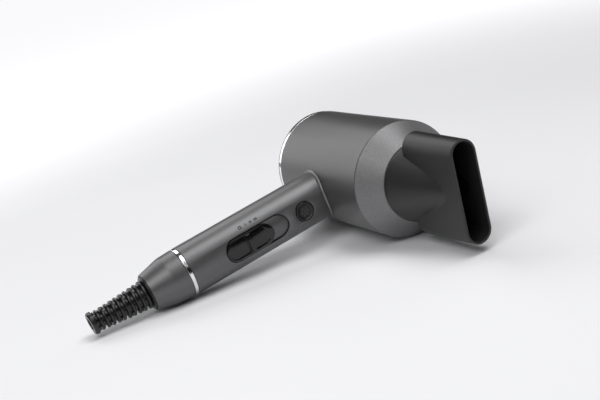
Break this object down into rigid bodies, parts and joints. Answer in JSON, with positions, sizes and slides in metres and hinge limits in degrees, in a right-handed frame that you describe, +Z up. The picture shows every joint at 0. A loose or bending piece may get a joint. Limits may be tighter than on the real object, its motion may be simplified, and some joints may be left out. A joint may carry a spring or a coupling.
{
  "type": "hair dryer",
  "caption": "Hand-held hair dryer with a round barrel, straight handle, slide switch, cool-shot button and pull-off flat concentrator nozzle.",
  "frame": {"origin": "middle of the box that the dryer fills, on the surface it lies on", "axes": "+Z up, the barrel lies along Y with its nozzle towards -Y, the handle reaches towards -X and droops to the surface"},
  "size_m": [0.2702, 0.1986, 0.0828],
  "materials": {
    "housing": "satin metallic grey paint",
    "collar": "fine textured metallic grey paint",
    "chrome_trim": "polished",
    "black_satin": "satin",
    "black_gloss": "gloss",
    "rubber": "matt",
    "steel": "brushed",
    "dark_steel": "blackened",
    "brass": "plain",
    "copper": "enamelled winding",
    "nichrome": "oxidised wire",
    "mica": "flaky sheet",
    "duct_plastic": "moulded",
    "circuit_board": "solder mask",
    "component": "moulded",
    "capacitor_yellow": "moulded",
    "potting": "potted",
    "red_wire": "insulation",
    "white_plastic": "plain"
  },
  "bodies": {
    "dryer": {"barrel_shell": "housing", "front_collar": "collar", "collar_magnet_ring": "dark_steel", "rear_trim_ring": "chrome_trim", "inlet_grille": "duct_plastic", "outlet_grille": "black_satin", "neck_trim": "collar", "handle_shell": "housing", "switch_plate": "housing", "handle_trim_ring": "chrome_trim", "handle_end_cap": "housing", "strain_relief": "rubber", "fan_duct": "duct_plastic", "motor_damper": "rubber", "motor_can": "steel", "motor_end_cap": "component", "motor_magnet_1": "dark_steel", "motor_magnet_2": "dark_steel", "rear_bushing": "brass", "front_bushing": "brass", "motor_terminal_1": "brass", "motor_terminal_2": "brass", "mica_sleeve": "mica", "mica_board_1": "mica", "mica_board_2": "mica", "heater_coil_1": "nichrome", "heater_coil_2": "nichrome", "thermostat": "steel", "thermal_fuse": "white_plastic", "ion_emitter": "brass", "ion_generator": "potting", "control_board": "circuit_board", "slide_switch": "component", "micro_switch": "component", "button_housing": "duct_plastic", "triac": "component", "line_capacitor": "capacitor_yellow", "lead_connector": "white_plastic", "lead_1": "red_wire", "lead_2": "white_plastic", "lead_3": "component", "cord_clamp": "duct_plastic", "cord_saddle": "duct_plastic", "clamp_screw_1": "steel", "clamp_screw_2": "steel"},
    "rotor": {"motor_shaft": "steel", "motor_armature": "copper", "commutator": "copper", "fan_impeller": "black_satin"},
    "slider": {"slide_knob": "black_gloss", "slider_carrier": "black_satin"},
    "button": {"cool_button": "black_satin", "button_spring": "steel"},
    "nozzle_ring": {"nozzle_magnet_ring": "dark_steel"},
    "nozzle": {"nozzle": "black_satin"},
    "rear_cover": {"filter_cover": "housing", "filter_mesh": "steel"}
  },
  "joints": [
    {"name": "rotor_spin", "type": "hinge", "parent": "dryer", "child": "rotor", "pos_m": [0.09373, 0.04365, 0.0414], "axis": [0, 1, 0], "continuous": true},
    {"name": "slider_slide", "type": "slide", "parent": "dryer", "child": "slider", "axis": [0.99, 0, 0.141], "range_m": [0, 0.013]},
    {"name": "cool_button_press", "type": "slide", "parent": "dryer", "child": "button", "axis": [0, 1, 0], "range_m": [0, 0.0018], "stiffness_N_per_m": 300, "springref_m": -0.002, "deforming": ["button_spring"]},
    {"name": "nozzle_pull", "type": "slide", "parent": "dryer", "child": "nozzle_ring", "axis": [0, -1, 0], "range_m": [0, 0.025]},
    {"name": "nozzle_turn", "type": "hinge", "parent": "nozzle_ring", "child": "nozzle", "pos_m": [0.09373, -0.03755, 0.0414], "axis": [0, -1, 0], "continuous": true},
    {"name": "cover_pull", "type": "slide", "parent": "dryer", "child": "rear_cover", "axis": [0, 1, 0], "range_m": [0, 0.02]}
  ]
}
